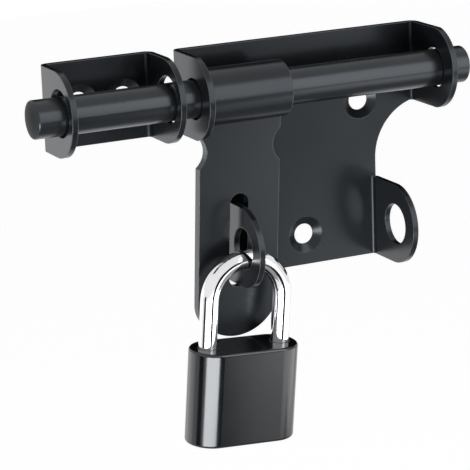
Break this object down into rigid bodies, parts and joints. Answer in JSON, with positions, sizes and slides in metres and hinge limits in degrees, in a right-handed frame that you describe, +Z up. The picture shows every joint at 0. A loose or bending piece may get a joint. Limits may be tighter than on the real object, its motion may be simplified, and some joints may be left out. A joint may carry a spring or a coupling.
{
  "type": "padbolt",
  "caption": "Black padlockable hasp bolt on a folded plate with keeper, the hasp down over its staple lug and held by a hanging padlock.",
  "frame": {"origin": "on the main plate's back face, in the plate's middle, level with the bolt's axis", "axes": "+X along the bolt away from its nose, +Y into the door, +Z up"},
  "size_m": [0.2019, 0.0375, 0.1712],
  "materials": {
    "black_coat": "satin",
    "black_rod": "satin",
    "chromed_bar": "polished",
    "black_shell": "satin",
    "plug_brass": "machined",
    "bright_steel": "bright"
  },
  "bodies": {
    "fixed_plates": {"main_plate": "black_coat", "keeper": "black_coat"},
    "bolt": {"bolt_rod": "black_rod"},
    "hasp_leaf": {"hasp": "black_coat"},
    "padlock": {"shackle": "chromed_bar", "padlock_body": "black_shell", "plug": "plug_brass", "cam": "plug_brass", "locking_dog_toe": "bright_steel", "locking_dog_heel": "bright_steel", "plug_pin": "bright_steel", "heel_pin": "bright_steel", "shackle_spring": "bright_steel", "key_pin_1": "plug_brass", "driver_pin_1": "plug_brass", "pin_spring_1": "bright_steel", "pin_stop_1": "black_shell", "key_pin_2": "plug_brass", "driver_pin_2": "plug_brass", "pin_spring_2": "bright_steel", "pin_stop_2": "black_shell", "key_pin_3": "plug_brass", "driver_pin_3": "plug_brass", "pin_spring_3": "bright_steel", "pin_stop_3": "black_shell", "key_pin_4": "plug_brass", "driver_pin_4": "plug_brass", "pin_spring_4": "bright_steel", "pin_stop_4": "black_shell", "key_pin_5": "plug_brass", "driver_pin_5": "plug_brass", "pin_spring_5": "bright_steel", "pin_stop_5": "black_shell"}
  },
  "joints": [
    {"name": "bolt_slide", "type": "slide", "parent": "fixed_plates", "child": "bolt", "axis": [1, 0, 0], "range_m": [-0.0002, 0.0013]},
    {"name": "hasp_swing", "type": "hinge", "parent": "bolt", "child": "hasp_leaf", "pos_m": [-0.03715, -0.0215, 0], "axis": [1, 0, 0], "range_deg": [0, 2.8]},
    {"name": "padlock_swing", "type": "hinge", "parent": "fixed_plates", "child": "padlock", "pos_m": [-0.03715, -0.0233, -0.07136], "axis": [1, 0, 0], "range_deg": [-115, 0]}
  ]
}
